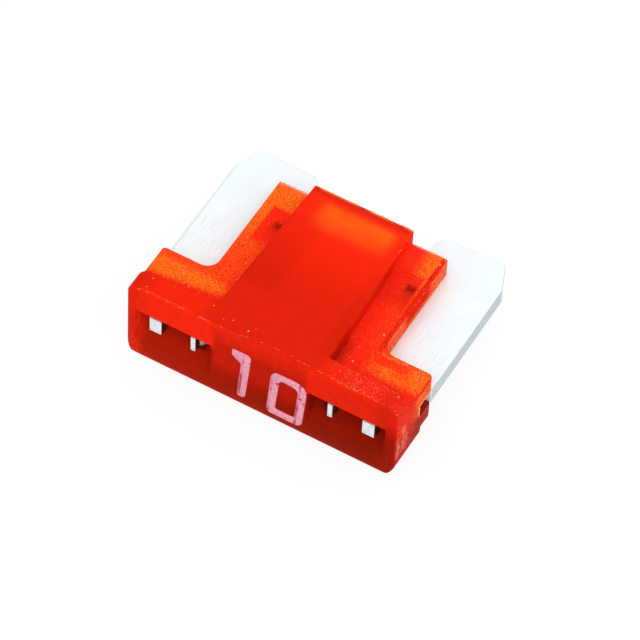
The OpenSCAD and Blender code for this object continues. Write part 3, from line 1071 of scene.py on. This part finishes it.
class FUSE_OT_flash(bpy.types.Operator):
    """Broken pale slivers along the moulded edges, partly torn flash and partly painted edge highlights,
    and specks on the shoulders and ears
    """

    bl_idname = "fuse.flash"
    bl_label = "Flash"

    # Kinds of sliver: thickness against the setting, and the level of noise that leaves an edge bare.
    FINE = (1.0, 0.5)
    DASHED = (1.5, 0.53)
    PALE_RIM = (2.1, 0.36)
    LEAST, WHOLE = 0.4, 1.0

    # Places of the paths in millimetres. On the front edge they are widths and lengths.
    FRONT_DASHES = ((-5.05, 0.06), (-2.2, 0.08))
    FRONT_FINE = (
        (-2.2, 0.08), (-0.9, 0.09), (-0.4, 0.19), (0.95, 0.26), (1.6, 0.18), (3.5, 0.16), (5.0, 0.11)
    )
    SHALLOW = 0.01
    DEEP = 0.02
    EAR_FINE_L = 3.2
    SHOULDER_FINE_X = (-5.2, -4.0)
    BLOCK_DASHES_L = 5.6
    BLOCK_DASHES_OUT = 0.06
    BLOCK_DASHES_END = 0.1
    CORNER_W = 0.6
    CORNER_LOW = 0.2
    EAR_RIM_OUT = 0.25
    SLOT_RIM_LOW = 1.74
    SLOT_RIM_HIGH = 2.29
    SLOT_RIM_END = 0.03

    # Specks: how many on a square metre, the faces they lie on, and their sizes.
    SPECK_DENSITY = 2.2 / MM ** 2
    SPECK_UP = 0.8
    SPECK_CLEAR = 0.1
    SPECK_LEAST = 0.35
    SPECK_FLAT = 0.5

    def execute(self, context):
        look = context.scene.fuse_flash
        torn = flash_material("torn_flash_and_highlight", look.torn)
        rim = flash_material("whitened_rim_and_highlight", look.rim)
        dust = flash_material("pale_dust", look.dust)
        fine, dashes, rims = self.edges()
        pieces = [
            self.slivers("edge_flash_and_highlight_fine", fine, look, self.FINE, torn),
            self.slivers("edge_flash_and_highlight_dashes", dashes, look, self.DASHED, torn),
            self.slivers("edge_rims_and_highlight", rims, look, self.PALE_RIM, rim),
            self.specks(look, dust),
        ]
        for piece in pieces:
            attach(piece, BODY)
        return {"FINISHED"}

    def edges(self):
        """Paths in millimetres along the edges that carry pale slivers, partly flash and partly painted
        highlight: fine, in dashes, and pale rims.
        """
        ear_z, block_z, far_l = EAR_Z - self.SHALLOW, TOP_Z - self.DEEP, BODY_L - self.DEEP
        fine = [
            [(x, along, self.front_z(along)) for x, along in self.FRONT_FINE],
            [(EAR_X, along, ear_z) for along in (self.EAR_FINE_L, BODY_L)],
            [(x, SHOULDER_L - self.SHALLOW, ear_z) for x in self.SHOULDER_FINE_X],
        ]
        block_edge = [
            (BLOCK_FAR_X + self.BLOCK_DASHES_OUT, self.BLOCK_DASHES_L, block_z),
            (BLOCK_FAR_X, BODY_L - self.BLOCK_DASHES_END, block_z),
        ]
        dashes = [
            [(x, along, self.front_z(along)) for x, along in self.FRONT_DASHES],
            block_edge,
            [(x, far_l, block_z) for x in (-BLOCK_FAR_X, BLOCK_FAR_X)],
        ]
        block_corner = [
            (BLOCK_FAR_X - self.CORNER_W, far_l, block_z),
            (BLOCK_FAR_X - self.DEEP, far_l, block_z),
            (BLOCK_FAR_X, far_l, EAR_Z + self.CORNER_LOW),
        ]
        slot_l = END_SLOT_L - self.DEEP
        slot_rim = [
            (slot_l, self.SLOT_RIM_LOW),
            (slot_l, self.SLOT_RIM_HIGH),
            (SHOULDER_L - self.SLOT_RIM_END, self.SLOT_RIM_HIGH),
        ]
        rims = [block_corner]
        for way in (-1, 1):
            rims.append([(way * x, BODY_L, ear_z) for x in (BLOCK_FAR_X + self.EAR_RIM_OUT, EAR_X)])
            rims.append([(way * (END_X - self.SHALLOW), along, z) for along, z in slot_rim])
        return fine, dashes, rims

    def front_z(self, along):
        """Height of the head's rounded front edge at a distance from the numbered face."""
        return TOP_Z - FRONT_R + math.sqrt(FRONT_R ** 2 - max(FRONT_R - along, 0) ** 2)

    def slivers(self, name, paths, look, kind, material):
        """A piece of slivers along paths."""
        weight, bare = kind
        mesh = bpy.data.meshes.new(name)
        points, pairs = [], []
        for path in paths:
            pairs += [(len(points) + i, len(points) + i + 1) for i in range(len(path) - 1)]
            points += [Vector((x, along + FACE_Y, z)) * MM for x, along, z in path]
        mesh.from_pydata(points, pairs, [])
        sizes = {
            "Spacing": look.spacing,
            "Length": look.length,
            "Thickness": look.thickness * weight,
            "Wander": look.wander,
            "Bare": bare,
            "Seed": look.seed,
        }
        tree = GrowTree(name, sizes)
        seed = tree.size("Seed")
        curve = tree.make("GeometryNodeMeshToCurve", None, {"Mesh": tree.shape})
        even = tree.make(
            "GeometryNodeCurveToPoints",
            {"mode": "LENGTH"},
            {"Curve": curve, "Length": tree.size("Spacing")},
        )
        gaps = tree.noise(tree.make("GeometryNodeInputPosition"), **FLASH_GAPS)
        gone = tree.size("Bare").above(gaps)
        kept = tree.make("GeometryNodeDeleteGeometry", None, {"Geometry": even, "Selection": gone})
        stray = tree.random((-1, -1, -1), (1, 1, 1), seed, "FLOAT_VECTOR")
        offset = tree.make(
            "ShaderNodeVectorMath", {"operation": "SCALE"}, {"Vector": stray, "Scale": tree.size("Wander")}
        )
        strayed = tree.make("GeometryNodeSetPosition", None, {"Geometry": kept, "Offset": offset})
        long = tree.random(self.LEAST, self.WHOLE, seed + 1) * tree.size("Length")
        thick = tree.random(self.LEAST, self.WHOLE, seed + 2) * tree.size("Thickness")
        scale = tree.make("ShaderNodeCombineXYZ", None, {0: thick, 1: thick, 2: long})
        tree.grow(strayed, tree.also(even, "Rotation"), scale, material)
        return tree.apply_to(object_from(name, mesh), sizes)

    def specks(self, look, material):
        """A piece of flat specks on the upper faces of the shoulders and ears."""
        mesh = bpy.data.objects["housing_moulding"].data.copy()
        sizes = {"Density": self.SPECK_DENSITY, "Size": look.speck, "Seed": look.seed}
        tree = GrowTree("surface_specks", sizes)
        seed = tree.size("Seed")
        x, y, z = tree.axes(tree.make("GeometryNodeInputPosition"))
        up = tree.axes(tree.make("GeometryNodeInputNormal"))[2]
        least_z, least_x = (EAR_Z - self.SPECK_CLEAR) * MM, (BLOCK_NEAR_X + self.SPECK_CLEAR) * MM
        chosen = up.above(self.SPECK_UP) * z.above(least_z) * abs(x).above(least_x)
        points = tree.make(
            "GeometryNodeDistributePointsOnFaces",
            None,
            {"Mesh": tree.shape, "Selection": chosen, "Density": tree.size("Density"), "Seed": seed},
        )
        random = tree.random(0.0, 1.0, seed + 1)
        radius = tree.size("Size") * (random * random).between(self.SPECK_LEAST, 1.0)
        scale = tree.make("ShaderNodeCombineXYZ", None, {0: radius, 1: radius, 2: radius * self.SPECK_FLAT})
        tree.grow(points, tree.also(points, "Rotation"), scale, material)
        return tree.apply_to(object_from("surface_specks", mesh), sizes)


class FUSE_OT_stage(bpy.types.Operator):
    """White floor, soft studio light and the camera"""

    bl_idname = "fuse.stage"
    bl_label = "Stage"

    FLOOR_W = 4.0
    FLOOR_DROP = 0.02 * MM
    FLOOR_WHITE = 0.85
    SKY_RISE = (0.0, 0.8)
    SKY_LOW = (0.45, 0.48, 0.5, 1)
    SKY_HIGH = (1.0, 1.0, 1.0, 1)
    SKY_STRENGTH = 0.98
    LAMP_ANGLE = math.radians(60)
    LAMPS = {"key": ((0.2, -0.45, 1.0), 0.85), "right": ((1.0, -0.25, 0.35), 0.65)}
    CLIP_START = 10 * MM

    def execute(self, context):
        scene = context.scene
        scene.view_settings.view_transform = "Standard"
        self.add_floor()
        self.add_world(scene)
        for name, (way, strength) in self.LAMPS.items():
            self.add_lamp(scene, name, way, strength)
        self.add_camera(scene, scene.fuse_stage)
        return {"FINISHED"}

    def add_floor(self):
        bpy.ops.mesh.primitive_plane_add(size=self.FLOOR_W, location=(0, 0, -self.FLOOR_DROP))
        floor = bpy.context.object
        floor.name = "floor"
        material = bpy.data.materials.new("white_floor")
        tree = shader_tree(material)
        path = tree.make("ShaderNodeLightPath", output="Is Camera Ray")
        seen = path.most(tree.also(path, "Is Glossy Ray")).most(tree.also(path, "Is Transmission Ray"))
        plain = tree.make("ShaderNodeBsdfDiffuse", None, {"Color": (0.97, 0.97, 0.97, 1)})
        white = tree.make("ShaderNodeEmission", None, {"Color": (1, 1, 1, 1), "Strength": 1.0})
        shader = tree.make("ShaderNodeMixShader", None, {0: seen * self.FLOOR_WHITE, 1: plain, 2: white})
        tree.make("ShaderNodeOutputMaterial", None, {"Surface": shader})
        floor.data.materials.append(material)

    def add_world(self, scene):
        world = bpy.data.worlds.new("studio")
        scene.world = world
        tree = shader_tree(world)
        up = tree.axes(tree.make("ShaderNodeTexCoord", output="Generated"))[2]
        colour = tree.mix(up.over(self.SKY_RISE), self.SKY_LOW, self.SKY_HIGH)
        light = tree.make("ShaderNodeBackground", None, {"Color": colour, "Strength": self.SKY_STRENGTH})
        tree.make("ShaderNodeOutputWorld", None, {"Surface": light})

    def add_lamp(self, scene, name, way, strength):
        data = bpy.data.lights.new(name, "SUN")
        data.angle = self.LAMP_ANGLE
        data.energy = strength
        lamp = bpy.data.objects.new(name, data)
        lamp.rotation_euler = (-Vector(way)).to_track_quat("-Z", "Y").to_euler()
        scene.collection.objects.link(lamp)

    def add_camera(self, scene, look):
        turn, rise = look.azimuth, look.elevation
        ahead = math.cos(rise)
        forward = Vector((-math.sin(turn) * ahead, math.cos(turn) * ahead, -math.sin(rise)))
        right = Vector((math.cos(turn), math.sin(turn), 0))
        up = right.cross(forward)
        leaned_right = right * math.cos(look.roll) + up * math.sin(look.roll)
        leaned_up = up * math.cos(look.roll) - right * math.sin(look.roll)
        middle = Vector((0, 0, housing_high.z / 2))
        data = bpy.data.cameras.new("camera")
        data.lens = look.lens
        data.clip_start = self.CLIP_START
        camera = bpy.data.objects.new("camera", data)
        place = middle - forward * look.distance + leaned_right * look.aim_right + leaned_up * look.aim_up
        turned = Matrix((leaned_right, leaned_up, -forward)).transposed().to_4x4()
        camera.matrix_world = Matrix.Translation(place) @ turned
        scene.collection.objects.link(camera)
        scene.camera = camera


class FUSE_PT_panel(bpy.types.Panel):
    bl_label = "Blade Fuse"
    bl_space_type = "VIEW_3D"
    bl_region_type = "UI"
    bl_category = "Blade Fuse"

    def draw(self, context):
        for operator in OPERATORS:
            self.layout.operator(operator.bl_idname)


SETTINGS = {
    "fuse_housing": FuseHousing,
    "fuse_element": FuseElement,
    "fuse_number": FuseNumber,
    "fuse_flash": FuseFlash,
    "fuse_stage": FuseStage,
}
OPERATORS = (FUSE_OT_housing, FUSE_OT_element, FUSE_OT_number, FUSE_OT_flash, FUSE_OT_stage)


def register():
    for name, group in SETTINGS.items():
        bpy.utils.register_class(group)
        setattr(bpy.types.Scene, name, PointerProperty(type=group))
    for kind in (*OPERATORS, FUSE_PT_panel):
        bpy.utils.register_class(kind)


def unregister():
    for kind in reversed((*OPERATORS, FUSE_PT_panel)):
        bpy.utils.unregister_class(kind)
    for name, group in SETTINGS.items():
        delattr(bpy.types.Scene, name)
        bpy.utils.unregister_class(group)


def main():
    register()
    bpy.ops.fuse.housing()
    bpy.ops.fuse.element()
    bpy.ops.fuse.number()
    bpy.ops.fuse.flash()
    bpy.ops.fuse.stage()


if __name__ == "__main__":
    main()
